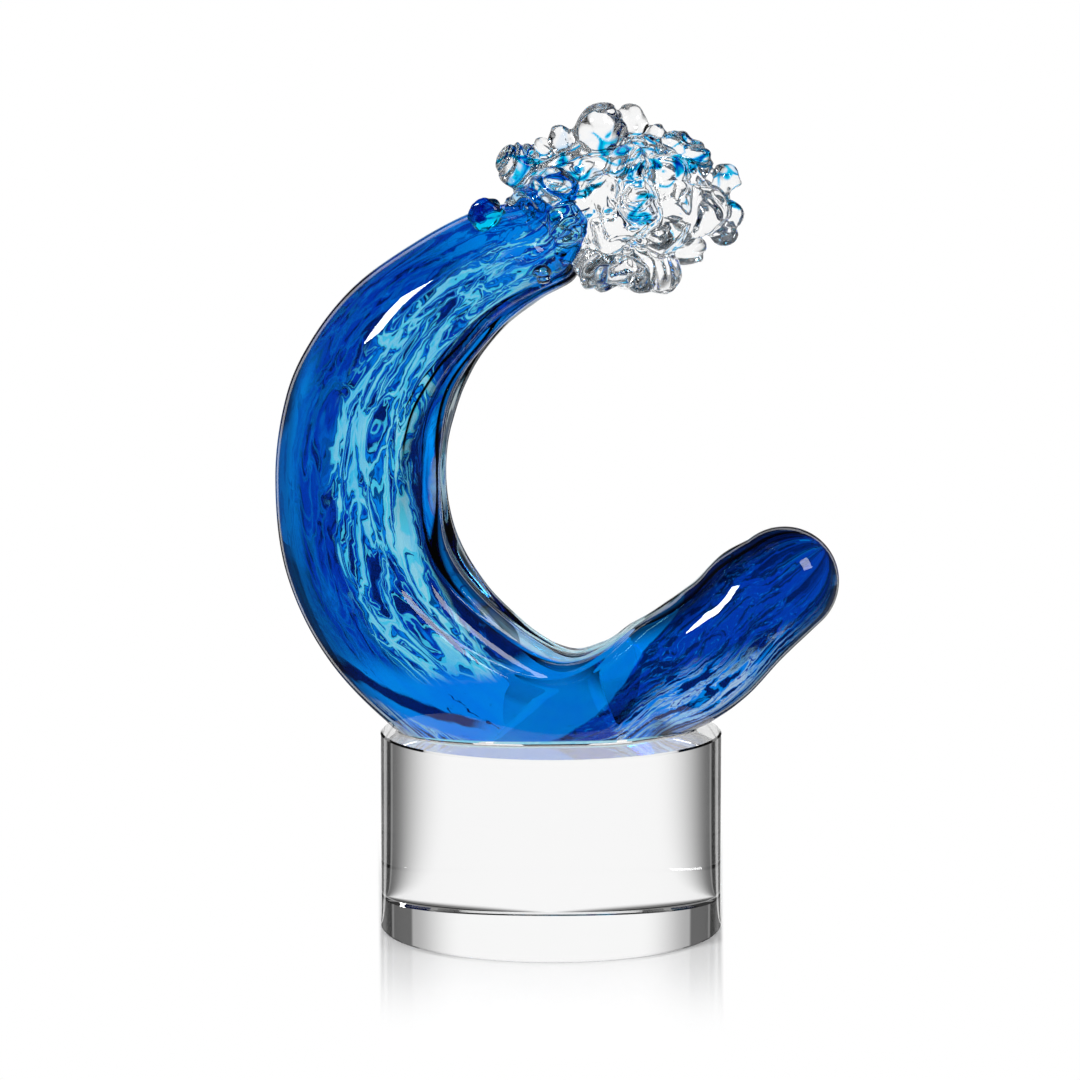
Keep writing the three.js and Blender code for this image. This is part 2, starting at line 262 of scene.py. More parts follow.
class Shade:
    """A shader socket that does its arithmetic with Math nodes."""

    def __init__(self, tree, socket):
        self.tree = tree
        self.socket = socket

    def maths(self, operation, *others):
        return self.ordered(operation, self, *others)

    def ordered(self, operation, *values):
        made = self.tree.nodes.new("ShaderNodeMath")
        made.operation = operation
        for place, value in enumerate(values):
            join(self.tree, made.inputs[place], value)
        return Shade(self.tree, made.outputs[0])

    def __add__(self, other):
        return self.maths("ADD", other)

    __radd__ = __add__

    def __mul__(self, other):
        return self.maths("MULTIPLY", other)

    __rmul__ = __mul__

    def __sub__(self, other):
        return self.maths("SUBTRACT", other)

    def __rsub__(self, other):
        return self.ordered("SUBTRACT", other, self)

    def __truediv__(self, other):
        return self.maths("DIVIDE", other)

    def __abs__(self):
        return self.maths("ABSOLUTE")

    def between(self, low, high):
        """0 below low, 1 above high, and smooth between."""
        made = self.tree.nodes.new("ShaderNodeMapRange")
        made.interpolation_type = "SMOOTHSTEP"
        join(self.tree, made.inputs["Value"], self)
        made.inputs["From Min"].default_value = low
        made.inputs["From Max"].default_value = high
        return Shade(self.tree, made.outputs["Result"])


def join(tree, socket, value):
    """Links a value to a socket, or sets the socket's own number or colour."""
    if isinstance(value, Shade):
        tree.links.new(value.socket, socket)
    elif isinstance(value, bpy.types.NodeSocket):
        tree.links.new(value, socket)
    else:
        socket.default_value = value


def node(tree, kind, settings=None, **values):
    """One node with its settings made first, then the values or links of its sockets."""
    made = tree.nodes.new(kind)
    for name, value in (settings or {}).items():
        setattr(made, name, value)
    for name, value in values.items():
        join(tree, made.inputs[name.replace("_", " ")], value)
    return made


def new_material(name):
    material = bpy.data.materials.new(name)
    material.use_nodes = True
    material.node_tree.nodes.clear()
    return material, material.node_tree


# Shapes


def spline(rows, column, share):
    """A smooth curve through one column of the rows, read at a share of the way along."""
    at = share * (len(rows) - 1)
    start = min(int(at), len(rows) - 2)
    t = at - start
    values = [row[column] for row in rows]
    b, c = values[start], values[start + 1]
    a = values[start - 1] if start > 0 else 2 * b - c
    d = values[start + 2] if start + 2 < len(values) else 2 * c - b
    leave, arrive = (c - a) / 2, (d - b) / 2
    square, cube = t * t, t * t * t
    return (
        b
        + leave * t
        + (3 * (c - b) - 2 * leave - arrive) * square
        + (2 * (b - c) + leave + arrive) * cube
    )


class Section:
    """The cross-section of a swept body at a share of the way along it, inside the given walls."""

    def __init__(self, rows, share, walls=(0, 0, 0)):
        back_wall, throat_wall, side_wall = walls
        self.share = share
        back = Vector((spline(rows, 0, share), 0, spline(rows, 1, share) + FOOT_Z))
        throat = Vector((spline(rows, 2, share), 0, spline(rows, 3, share) + FOOT_Z))
        across = throat - back
        swell = THROAT_SWELL * math.sin(math.pi * share) ** 2 if throat_wall else 0
        self.half = (across.length - back_wall - throat_wall - swell) / 2
        self.across = across.normalized()
        self.centre = back + self.across * (back_wall + self.half)
        self.travel = Vector((self.across.z, 0, -self.across.x))
        self.depth = spline(rows, 4, share) - side_wall
        self.rib = spline(rows, 5, share)
        self.span = math.radians(spline(rows, 6, share)) if len(rows[0]) > 6 else math.pi

    def point(self, angle, size, forward=0.0):
        place = self.centre + self.travel * forward
        place = place + self.across * (self.half * size * math.cos(angle))
        place.y += self.depth * size * math.sin(angle)
        return place

    def outward(self, angle):
        side = self.across * (math.cos(angle) / self.half)
        side.y = math.sin(angle) / self.depth
        return side.normalized()


def swept(mesh, rows, rings, sides, ends, cut_at, walls=(0, 0, 0), turn_at=None):
    """Adds a sphere drawn out along the rows, rounded at both ends, and returns its vertices."""
    made = bmesh.ops.create_uvsphere(mesh, u_segments=sides, v_segments=rings, radius=1)
    sections = {}
    for vert in made["verts"]:
        share = math.acos(max(-1.0, min(1.0, vert.co.z))) / math.pi
        angle = math.atan2(vert.co.y, vert.co.x)
        key = round(share * rings)
        if key not in sections:
            body = min(1.0, max(0.0, (share - END_SHARE) / (1 - 2 * END_SHARE)))
            over = max(0.0, END_SHARE - share) - max(0.0, share - 1 + END_SHARE)
            turn = over / END_SHARE * math.pi / 2
            length = ends[0] if over > 0 else ends[1]
            sections[key] = (Section(rows, body, walls), math.cos(turn), -length * math.sin(turn))
        section, size, forward = sections[key]
        if turn_at:
            angle = turn_at(section, angle)
        cut = cut_at(section, angle) / section.half
        vert.co = section.point(angle, size * (1 - cut), forward)
    return made["verts"]


def rib_turn(section, angle):
    """Draws most of a ring's points over the ribs, which cover the throat side."""
    ribbed = RIBBED_SHARE * math.pi
    if abs(angle) < ribbed:
        return angle / ribbed * section.span
    left = (abs(angle) - ribbed) / (math.pi - ribbed)
    return math.copysign(section.span + left * (math.pi - section.span), angle)


def flow_noise(section, angle, stretch, size, seed):
    """Smooth noise drawn out along the wave."""
    along = section.share * stretch
    round_it = Vector((math.cos(angle), math.sin(angle), 0)) * size
    return noise.noise(Vector((round_it.x + seed, round_it.y - seed, along)))


def rib_cut(section, angle):
    """How far the wave's surface lies under its smooth section: ropes of glass side by side."""
    wander = 0.5 * flow_noise(section, angle, 9, 1.1, 4.0)
    place = angle / section.span
    window = max(0.0, 1 - abs(place) ** 6)
    rope = math.sqrt(math.cos(math.pi * (RIB_ROPES * place + wander)) ** 2 + 0.03)
    ripple = flow_noise(section, angle, 22, 3.0, 9.0)
    swell = flow_noise(section, angle, 7, 0.8, 21.0)
    return section.rib * window * (1 - rope ** 0.8) + 0.25 * ripple * window + 0.35 * swell + 0.3


def uncut(section, angle):
    """Leaves a body as smooth as its sections."""
    return 0


def crest_cut(section, angle):
    """How far the crest's surface lies under its smooth section: twisted flutes with swells."""
    round_it = math.cos(CREST_FLUTES * angle + section.share * CREST_TWIST)
    along = math.cos(2 * math.pi * CREST_SWELLS * section.share)
    return section.rib * (1 - round_it * along)


def wave_map():
    """A search tree of points on the wave's smooth skin, and the grain of each point.

    The grain is the cosine and sine of its place round the wave, and its share of the way along.
    """
    steps, turns = 260, 72
    grains = []
    tree = kdtree.KDTree((steps + 1) * turns)
    for step in range(steps + 1):
        section = Section(WAVE_ROWS, step / steps)
        for turn in range(turns):
            angle = 2 * math.pi * turn / turns
            tree.insert(section.point(angle, 1) * MM, len(grains))
            grains.append(Vector((math.cos(angle), math.sin(angle), step / steps)))
    tree.balance()
    return tree, grains


def lay_grain(piece, wave):
    """Writes each point's grain, how near the wave's skin it is, and the foam's blue there."""
    tree, grains = wave
    attributes = piece.data.attributes
    for name, kind in (("grain", "FLOAT_VECTOR"), ("near", "FLOAT"), ("vein", "FLOAT")):
        attributes.new(name, kind, "POINT")
    grain, near, vein = (attributes[name] for name in ("grain", "near", "vein"))
    for index, vert in enumerate(piece.data.vertices):
        found = tree.find_n(vert.co, 4)
        weights = [1 / (1e-4 + distance) ** 2 for _, _, distance in found]
        total = sum(weights)
        mixed = Vector((0, 0, 0))
        for weight, (_, place, _) in zip(weights, found):
            mixed += grains[place] * (weight / total)
        grain.data[index].vector = mixed
        near.data[index].value = min(1.0, max(0.0, 1.4 - found[0][2] / MM / 3))
        vein.data[index].value = vein_share(vert.co / MM)


def ball(mesh, centre, radius):
    place = Matrix.Translation(centre)
    bmesh.ops.create_icosphere(mesh, subdivisions=3, radius=radius, matrix=place)


def add_bead(mesh, rows, bead):
    """A drop of glass sunk into a swept body and standing out from it."""
    share, degrees, radius, sunk, lean, stretch = bead
    angle = math.radians(degrees)
    section = Section(rows, share)
    outward = section.outward(angle)
    centre = section.point(angle, 1, -lean) + outward * (radius * stretch - sunk)
    turn = Vector((0, 0, 1)).rotation_difference(outward).to_matrix().to_4x4()
    place = Matrix.Translation(centre) @ turn @ Matrix.Diagonal((1, 1, stretch, 1))
    bmesh.ops.create_icosphere(mesh, subdivisions=4, radius=radius, matrix=place)


def on_skin(tree, x, z, side, sunk):
    """The point that lies sunk under the skin, straight behind or in front of a place."""
    hit, normal, _, _ = tree.ray_cast(Vector((x, side * 100, z)), Vector((0, -side, 0)))
    if hit is None:
        return None
    return hit - normal * sunk


def lay_rope(mesh, points):
    """Adds a rope of glass through the points, each a place and a thickness."""
    curve = bpy.data.curves.new("rope", "CURVE")
    curve.dimensions = "3D"
    curve.bevel_depth = 1
    curve.bevel_resolution = 3
    curve.use_fill_caps = True
    line = curve.splines.new("POLY")
    line.points.add(len(points) - 1)
    for point, (place, thick) in zip(line.points, points):
        point.co = (*place, 1)
        point.radius = thick
    holder = bpy.data.objects.new("rope", curve)
    tube = bpy.data.meshes.new_from_object(holder)
    mesh.from_mesh(tube)
    bpy.data.objects.remove(holder)
    bpy.data.curves.remove(curve)
    bpy.data.meshes.remove(tube)


def lay_strand(mesh, tree, radius, points, side):
    """A rope of glass along the skin, with tapered ends and an uneven thickness."""
    steps = 8 * (len(points) - 1)
    rope = []
    for step in range(steps + 1):
        share = step / steps
        x, z = spline(points, 0, share), spline(points, 1, share)
        wobble = 0.12 * math.sin(23 * share + radius * 9)
        thick = radius * (0.45 + 0.65 * math.sin(math.pi * share) ** 0.5 + wobble)
        place = on_skin(tree, x, z, side, thick * 0.25)
        if place:
            rope.append((place, thick))
    if len(rope) > 2:
        lay_rope(mesh, rope)


def lay_curl(mesh, tree, curl, side):
    """A rope of glass wound inwards on the skin, with a hollow between its turns."""
    x, z, outer, rope, turns = curl
    steps = int(24 * turns)
    points = []
    for step in range(steps + 1):
        share = step / steps
        angle = 2 * math.pi * turns * share + x
        reach = outer * (1 - 0.8 * share)
        across, up = reach * math.cos(angle), 0.8 * reach * math.sin(angle)
        place = on_skin(tree, x + across, z + up, side, rope * 0.1)
        if place:
            points.append((place, rope * (1 + 0.2 * share)))
    if len(points) > 2:
        lay_rope(mesh, points)


def lay_coil(mesh):
    """The coil pressed on at the neck: a drop with a rope wound on its face."""
    x, y, z, radius = COIL
    centre = Vector((x, y, z))
    ball(mesh, centre + Vector((0, 1.5, 0)), radius * 0.86)
    steps = 60
    points = []
    for step in range(steps + 1):
        share = step / steps
        angle = 2 * math.pi * COIL_TURNS * share
        reach = radius * (0.9 - 0.75 * share)
        lift = math.sqrt(max(0.0, radius ** 2 - reach ** 2)) * 0.85
        offset = Vector((reach * math.cos(angle), -lift, reach * math.sin(angle)))
        points.append((centre + offset, COIL_ROPE))
    lay_rope(mesh, points)


def finish_mesh(name, mesh):
    """Turns a bmesh in millimetres into a smooth object in metres."""
    bmesh.ops.scale(mesh, vec=(MM, MM, MM), verts=mesh.verts)
    bmesh.ops.recalc_face_normals(mesh, faces=mesh.faces)
    for face in mesh.faces:
        face.smooth = True
    data = bpy.data.meshes.new(name)
    mesh.to_mesh(data)
    mesh.free()
    piece = bpy.data.objects.new(name, data)
    bpy.context.scene.collection.objects.link(piece)
    return piece


def applied(piece):
    """Bakes a piece's modifiers into its mesh."""
    graph = bpy.context.evaluated_depsgraph_get()
    baked = bpy.data.meshes.new_from_object(piece.evaluated_get(graph))
    piece.modifiers.clear()
    old = piece.data
    piece.data = baked
    bpy.data.meshes.remove(old)
    return piece


def drifted(place, size, reach):
    """A place pushed about by smooth noise of the given size, in millimetres."""
    at = place / size + FOAM_SEED
    push = Vector((noise.noise(at), noise.noise(at.yzx), noise.noise(at.zxy)))
    return place + push * reach


def foam_fold(place):
    """Folds of the foam's skin, from -1 in a crease to 1 on a fold, which wind round swirls."""
    bent = drifted(place, 14.0, 9.0)
    folds = math.cos(2 * math.pi * FOLD_RINGS * noise.noise(bent / 14.0))
    calm = 0.5 + 0.5 * noise.noise(place / 9.0 + Vector((7, 0, 3)))
    return folds * min(1.0, 0.3 + calm)


def vein_share(place):
    """How blue the foam's glass is at a place: streaks along its flow, at the blue spots."""
    drift = drifted(place, 7.0, 4.0)
    along = drift.x * FOAM_FLOW[0] + drift.z * FOAM_FLOW[1]
    aside = drift.z * FOAM_FLOW[0] - drift.x * FOAM_FLOW[1]
    line = abs(noise.noise(Vector((along / 15.0, drift.y / 7.0, aside / 3.5))))
    streak = max(0.0, 1 - line / 0.2)
    best = 0.0
    for x, z, reach, least in BLUE_SPOTS:
        gap = math.hypot(drift.x - x, drift.z - z) / reach
        spot = min(1.0, 2 * max(0.0, 1 - gap * gap))
        best = max(best, spot * (least + (1 - least) * streak))
    return best


def grind_foot(piece, lift):
    """Cuts a piece flat a little above the ground foot."""
    mesh = bmesh.new()
    mesh.from_mesh(piece.data)
    geometry = mesh.verts[:] + mesh.edges[:] + mesh.faces[:]
    cut = bmesh.ops.bisect_plane(
        mesh,
        geom=geometry,
        dist=1e-7,
        plane_co=(0, 0, (FOOT_Z + lift) * MM),
        plane_no=(0, 0, 1),
        clear_inner=True,
    )
    edges = [part for part in cut["geom_cut"] if isinstance(part, bmesh.types.BMEdge)]
    filled = bmesh.ops.contextual_create(mesh, geom=edges)
    bmesh.ops.recalc_face_normals(mesh, faces=mesh.faces)
    for face in filled["faces"]:
        face.smooth = False
        for edge in face.edges:
            edge.smooth = False
    mesh.to_mesh(piece.data)
    mesh.free()


def melted(piece, rounds):
    """Smooths a piece's mesh that many times, after any modifiers that it has."""
    soft = piece.modifiers.new("melt", "SMOOTH")
    soft.factor = 0.5
    soft.iterations = rounds
    return applied(piece)


def fused(piece, voxel, rounds):
    """Makes one closed skin of a piece's overlapping bodies, then melts it."""
    made = piece.modifiers.new("fuse", "REMESH")
    made.mode = "VOXEL"
    made.voxel_size = voxel * MM
    made.use_smooth_shade = True
    return melted(piece, rounds)


def place_piece(piece, material, nodes):
    """Gives a piece its material, hangs it on the body, and hides the nodes of the frame that it
    stands for.
    """
    piece.data.materials.clear()
    piece.data.materials.append(material)
    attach(piece, BODY)
    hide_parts(*nodes)


# Finishes


def blend(tree, factor, first, second):
    """A mix of two colours."""
    made = node(tree, "ShaderNodeMix", {"data_type": "RGBA"})
    join(tree, made.inputs["Factor"], factor)
    join(tree, made.inputs[6], first)
    join(tree, made.inputs[7], second)
    return made.outputs[2]


def scaled(tree, vector, by):
    """A vector times another, part by part."""
    made = node(tree, "ShaderNodeVectorMath", {"operation": "MULTIPLY"})
    join(tree, made.inputs[0], vector)
    made.inputs[1].default_value = by
    return made.outputs[0]


def moved(tree, vector, by, amount):
    """A vector pushed along by some amount of another."""
    made = node(tree, "ShaderNodeVectorMath", {"operation": "MULTIPLY_ADD"})
    join(tree, made.inputs[0], by)
    made.inputs[1].default_value = (amount, amount, amount)
    join(tree, made.inputs[2], vector)
    return made.outputs[0]


def through(red, green, blue):
    """The base colour of a clear surface that lets this much light through.

    The surface counts a base colour as its root.
    """
    return (red * red, green * green, blue * blue, 1)


def glass_colours():
    """The colours of the settings, as base colours of a clear surface."""
    glass = bpy.context.scene.award_glass
    names = ("cobalt", "navy", "azure", "teal", "cyan", "lilac_reflection")
    return [through(*getattr(glass, name)) for name in names]


CLEAR = through(1.0, 1.0, 1.0)
VEIN_BLUE = (0.0, 0.42, 0.92, 1)
COBALT_SKIN = (0.8, 0.8, 0.8, 1)


def grain_parts(tree):
    """The wave's grain: across (1 at the throat), towards the back, and the share along it."""
    grain = attribute(tree, "grain", "Vector")
    return (grain, *parted(tree, grain))


def noise_shade(tree, vector, scale, detail=3.0, distortion=0.0):
    made = node(
        tree, "ShaderNodeTexNoise", Vector=vector, Scale=scale, Detail=detail, Distortion=distortion
    )
    return Shade(tree, made.outputs["Fac"])


def noise_way(tree, vector, scale, detail):
    """A smooth noise with three parts, to push other patterns about."""
    made = node(tree, "ShaderNodeTexNoise", Vector=vector, Scale=scale, Detail=detail)
    return made.outputs["Color"]


def parted(tree, vector):
    """The x, y and z of a vector."""
    parts = node(tree, "ShaderNodeSeparateXYZ", Vector=vector)
    return (Shade(tree, parts.outputs[axis]) for axis in "XYZ")


def object_place(tree):
    return node(tree, "ShaderNodeTexCoord").outputs["Object"]


def attribute(tree, name, output):
    return node(tree, "ShaderNodeAttribute", {"attribute_name": name}).outputs[output]


def middle_gap(tree, vector, scale, detail, distortion):
    """How far a noise is from its middle value, which it has along lines that meet and part."""
    return abs(noise_shade(tree, vector, scale, detail, distortion) - 0.5)


def foot_share(tree):
    """1 on the flat ground foot and 0 above it."""
    _, _, height = parted(tree, object_place(tree))
    return 1 - height.between((FOOT_Z + 0.4) * MM, (FOOT_Z + 0.8) * MM)


class Marbling:
    """The coloured streaks of the wave, drawn along its curl."""

    def __init__(self, tree):
        self.tree = tree
        self.cobalt, self.navy, self.azure, self.teal, self.cyan, self.lilac_reflection = glass_colours()
        grain, self.across, self.behind, self.share = grain_parts(tree)
        bend = noise_way(tree, scaled(tree, grain, (2.6, 2.6, 9.0)), 1.0, 1.0)
        self.bent = moved(tree, scaled(tree, grain, (5.5, 5.5, 22.0)), bend, 3.0)
        marbled = moved(tree, self.bent, noise_way(tree, self.bent, 0.8, 1.0), 1.6)
        _, wander, _ = parted(tree, bend)
        self.wander = wander - 0.5
        self.marbled = marbled
        self.ripple = noise_shade(tree, marbled, 1.6, 3.0, 0.8)
        self.streaks = noise_shade(tree, scaled(tree, marbled, (1.0, 1.0, 0.3)), 1.6, 3.0, 0.5)
        self.fine = noise_shade(tree, scaled(tree, marbled, (3.0, 3.0, 1.0)), 1.8, 3.0, 1.5)

    def blend(self, factor, first, second):
        return blend(self.tree, factor, first, second)

    def body(self):
        """Cobalt, with darker and lighter streaks."""
        colour = self.blend(self.ripple.between(0.5, 0.6), self.cobalt, self.navy)
        colour = self.blend((1 - self.ripple).between(0.56, 0.68) * 0.25, colour, self.azure)
        return self.blend(self.fine.between(0.6, 0.66) * 0.6, colour, self.navy)

    def web(self, colour, place):
        """Strands, bright where either of two noises is at its middle, with thin dark edges."""
        stretched = scaled(self.tree, self.bent, (1.0, 1.0, 0.5))
        gap = middle_gap(self.tree, self.marbled, 0.62, 1.5, 0.5)
        gap = gap.maths("MINIMUM", middle_gap(self.tree, stretched, 0.75, 1.0, 0.3) * 0.8)
        band = place.between(-0.4, -0.15) * (1 - place.between(0.62, 0.8))
        thick = band * (self.streaks.between(0.38, 0.66) * 0.042 + 0.014)
        halo = (thick + 0.03 - gap).between(0, 0.015) * (band * 0.7 + 0.2)
        edge = (thick + 0.012 - gap).between(0, 0.004) * (band * 0.5 + 0.4)
        echo = (0.008 - abs(gap - thick - 0.05)).between(0, 0.005) * band
        colour = self.blend(gap.between(0.09, 0.13) * band, colour, self.navy)
        colour = self.blend(halo, colour, self.azure)
        colour = self.blend(edge, colour, self.navy)
        colour = self.blend(echo * 0.8, colour, self.cyan)
        colour = self.blend((thick - gap).between(0, 0.005), colour, self.cyan)
        return self.blend((thick * 0.55 - gap).between(0, 0.01) * 0.65, colour, CLEAR)

    def edges(self, colour, place):
        """A dark and a light line beside the throat, and the lighter back edge."""
        dark = place.between(0.6, 0.72) * (1 - place.between(0.86, 0.93))
        light = place.between(0.9, 0.98) * self.streaks.between(0.42, 0.56)
        back = (1 - place.between(-0.85, -0.65)) * self.share.between(0.24, 0.32)
        colour = self.blend(dark * self.streaks.between(0.4, 0.5), colour, self.navy)
        colour = self.blend(light, colour, self.azure)
        return self.blend(back * (0.3 + 0.6 * self.ripple.between(0.42, 0.5)), colour, self.teal)

    def belly(self, colour):
        """The even blue between the web and the dark toe, with one dark swoosh and some specks."""
        start = (self.share - self.across * 0.05 + self.wander * 0.03).between(0.522, 0.545)
        swoosh = (self.share - 0.535) * 9.0 - self.across - 0.57
        swoosh = (0.13 - abs(swoosh + self.wander * 0.4)).between(0, 0.05)
        swoosh = swoosh * (1 - self.share.between(0.575, 0.59))
        specks = self.fine.between(0.68, 0.7) * (1 - self.across.between(0.0, 0.3))
        belly = self.blend(swoosh.maths("MAXIMUM", specks), self.azure, self.navy)
        return self.blend(start, colour, belly)

    def neck(self, colour):
        """Azure and cobalt streaks where the wave runs into the foam."""
        neck = 1 - self.share.between(0.06, 0.15)
        colour = self.blend(neck * (1 - self.streaks.between(0.48, 0.52)), colour, self.azure)
        return self.blend(neck * self.ripple.between(0.54, 0.57), colour, self.cobalt)

    def toe(self, colour):
        """A dark toe, with light drawn streaks along its underside and at its tip; the lilac ones
        are painted reflections.
        """
        across, share = self.across, self.share
        start = share - across * 0.14 - across.between(0.7, 1.0) * 0.06 + self.wander * 0.03
        dark = self.blend(self.streaks.between(0.44, 0.54), self.navy, self.cobalt)
        dark = self.blend(self.fine.between(0.6, 0.66) * 0.6, dark, self.azure)
        drawn = scaled(self.tree, self.bent, (1.5, 1.5, 0.1))
        drawn = noise_shade(self.tree, drawn, 1.4, 4.0, 0.3)
        light = self.blend(drawn.between(0.42, 0.47), self.navy, self.azure)
        # Painted reflection: thin lilac lines stand in for soft boxes mirrored under the toe.
        light = self.blend(drawn.between(0.5, 0.53), light, self.lilac_reflection)
        light = self.blend((0.015 - abs(drawn - 0.56)).between(0, 0.01), light, self.cobalt)
        low = (across - share * 1.6 + drawn * 1.6 + 0.45).between(-0.15, 0.15)
        tip = (share + across * 0.2 + drawn * 0.3).between(0.92, 1.02)
        toe = self.blend(low.maths("MAXIMUM", tip), light, dark)
        return self.blend(start.between(0.645, 0.653), colour, toe)

    def colour(self):
        place = self.across + self.wander * 0.3
        colour = self.edges(self.web(self.body(), place), place)
        colour = self.toe(self.neck(self.belly(colour)))
        back = self.blend(self.streaks.between(0.5, 0.62) * 0.5, CLEAR, self.cyan)
        colour = self.blend(1 - self.behind.between(-0.1, 0.15), back, colour)
        return self.blend(foot_share(self.tree), colour, CLEAR)


def end_glass(tree, colour, roughness, ior):
    """Ends a material's nodes in glass of that colour, and returns its output node."""
    glass = node(
        tree,
        "ShaderNodeBsdfPrincipled",
        Base_Color=colour,
        Roughness=roughness,
        IOR=ior,
        Transmission_Weight=1.0,
    )
    out = node(tree, "ShaderNodeOutputMaterial")
    tree.links.new(glass.outputs[0], out.inputs["Surface"])
    return out


def clear_glass(name, roughness, ior):
    """Polished clear glass, with a very slight haze here and there."""
    material, tree = new_material(name)
    haze = noise_shade(tree, object_place(tree), 60.0, 2.0).between(0.45, 0.75) * roughness
    end_glass(tree, CLEAR, haze, ior)
    return material


def casing_glass():
    """The wave's outer glass: blue tints along the wave, and blue veins in the clear foam."""
    cobalt = glass_colours()[0]
    material, tree = new_material("casing_glass")
    grain, across, _, _ = grain_parts(tree)
    near = Shade(tree, attribute(tree, "near", "Fac"))
    vein = Shade(tree, attribute(tree, "vein", "Fac"))
    streaks = noise_shade(tree, scaled(tree, grain, (4.0, 4.0, 8.0)), 1.5, 4.0)
    tint = blend(tree, streaks.between(0.4, 0.6), through(0.85, 0.97, 1), through(0.6, 0.88, 1))
    tint = blend(tree, foot_share(tree), tint, CLEAR)
    clear = blend(tree, vein.between(0.05, 0.6), CLEAR, VEIN_BLUE)
    clear = blend(tree, vein.between(0.55, 0.95), clear, cobalt)
    on_wave = near * (1 - across.between(0.8, 0.97))
    end_glass(tree, blend(tree, on_wave, clear, tint), 0.0, GLASS_IOR)
    return material


def aqua_glass():
    """Marbled glass. It is fused into glass of the same kind, so it bends no light at its skin."""
    material, tree = new_material("aqua_glass")
    end_glass(tree, Marbling(tree).colour(), 0.0, FUSED_IOR)
    return material


def cobalt_glass():
    """Glass that takes light by its thickness. It is fused in, so it bends none at its skin."""
    material, tree = new_material("cobalt_glass")
    out = end_glass(tree, COBALT_SKIN, 0.0, FUSED_IOR)
    volume = node(
        tree, "ShaderNodeVolumeAbsorption", Color=(*WATER_COLOUR, 1), Density=WATER_DENSITY
    )
    tree.links.new(volume.outputs[0], out.inputs["Volume"])
    return material


def ray_kinds(tree):
    """1 for a camera ray, 1 for a ray that passed through glass, and 1 for a mirrored ray."""
    rays = node(tree, "ShaderNodeLightPath")
    passed = Shade(tree, rays.outputs["Is Transmission Ray"])
    mirrored = Shade(tree, rays.outputs["Is Glossy Ray"]) * (1 - passed)
    return Shade(tree, rays.outputs["Is Camera Ray"]), passed, mirrored


def studio_level(tree, way, passed, mirrored):
    """How bright the studio is that way, through the glass and mirrored in it.

    It is white behind the object, greyer to the sides with a black card there, and dim on the
    camera's side. The glass mirrors only the white behind it, and a dark card within that.
    """
    way = node(tree, "ShaderNodeVectorMath", {"operation": "NORMALIZE"}, Vector=way).outputs[0]
    x, y, z = parted(tree, way)
    turn = abs(x).maths("ARCTAN2", abs(y)) * (180 / math.pi)
    high = z.between(0, 0.05)
    low_fall = turn.between(24, 58) * 0.82
    high_fall = turn.between(22, 43) * 0.55 + turn.between(43, 45) * 0.32
    fall = 1 - low_fall * (1 - high) - high_fall * high
    card = turn.between(62.2, 63.4) * (1 - turn.between(66, 85))
    line = turn.between(59, 60.5) * (1 - turn.between(61.5, 62.2))
    beyond = turn.between(62, 75)
    ceiling = 1 - 0.7 * z.between(0.5, 0.85)
    level = (fall + 0.2 * line + 0.75 * beyond) * (1 - card) * ceiling
    seen = 0.3 + 0.7 * y.between(0.1, 0.7)
    band = y.between(0.8, 0.84) * (1 - y.between(0.89, 0.91)) + y.between(0.97, 0.985)
    return passed * seen * level + mirrored * (0.03 + 0.97 * band) * ceiling


# Settings


class WaveSettings(bpy.types.PropertyGroup):
    rings: IntProperty(name="Rings", description="Rings of points along the wave", default=330)
    sides: IntProperty(name="Sides", description="Points round the wave", default=140)
    voxel: FloatProperty(
        name="Foam detail", description="Voxel size of the fused foam, in millimetres", default=0.55
    )
    melt: IntProperty(name="Melt", description="How often the fused foam is smoothed", default=16)
    fold: FloatProperty(
        name="Folds", description="Height of the foam's folds, in millimetres", default=0.6
    )


def glass_colour(name, description, default):
    return FloatVectorProperty(
        name=name, description=description, default=default, subtype="COLOR", size=3, min=0, max=1
    )


class GlassSettings(bpy.types.PropertyGroup):
    cobalt: glass_colour("Cobalt", "Light that the deep blue streaks let through", (0, 0.065, 0.52))
    navy: glass_colour("Navy", "Light that the darkest streaks let through", (0, 0.02, 0.16))
    azure: glass_colour("Azure", "Light that the even blue of the belly lets through", (0, 0.36, 1))
    teal: glass_colour("Teal", "Light that the wave's back edge lets through", (0, 0.36, 1))
    cyan: glass_colour("Cyan", "Light that the bright strands let through", (0.28, 0.9, 1))
    # Lilac: painted reflection of soft boxes, drawn as the thin lines under the toe.
    lilac_reflection: glass_colour("Lilac", "Light that the streaks under the toe let through", (1, 0.8, 0.97))


class StageSettings(bpy.types.PropertyGroup):
    floor_colour: FloatVectorProperty(
        name="Floor",
        description="Colour of the floor",
        default=(0.91, 0.91, 0.91),
        subtype="COLOR",
        size=3,
    )


# Operators


class AWARD_OT_base(bpy.types.Operator):
    """Build the round crystal base"""

    bl_idname = "award.base"
    bl_label = "Crystal base"

    def execute(self, context):
        mesh = bmesh.new()
        top = BASE_TOP - HAIR
        bmesh.ops.create_cone(
            mesh,
            cap_ends=True,
            segments=BASE_SEGMENTS,
            radius1=BASE_RADIUS,
            radius2=BASE_RADIUS,
            depth=top,
            matrix=Matrix.Translation((0, 0, top / 2)),
        )
        rims = [edge for edge in mesh.edges if abs(edge.verts[0].co.z - edge.verts[1].co.z) < 1e-4]
        bmesh.ops.bevel(
            mesh, geom=rims, offset=CHAMFER, affect="EDGES", segments=1, profile=0.5, material=-1
        )
        for edge in mesh.edges:
            edge.smooth = edge.calc_face_angle(0) < SHARP_TURN
        base = finish_mesh("crystal_base_glass", mesh)
        crystal = clear_glass("crystal", 0.004, CRYSTAL_IOR)
        place_piece(base, crystal, ["crystal_base"])
        film = bpy.data.objects["bond_film"]
        film.data.materials.clear()
        film.data.materials.append(clear_glass("bond", 0.02, BOND_IOR))
        return {"FINISHED"}


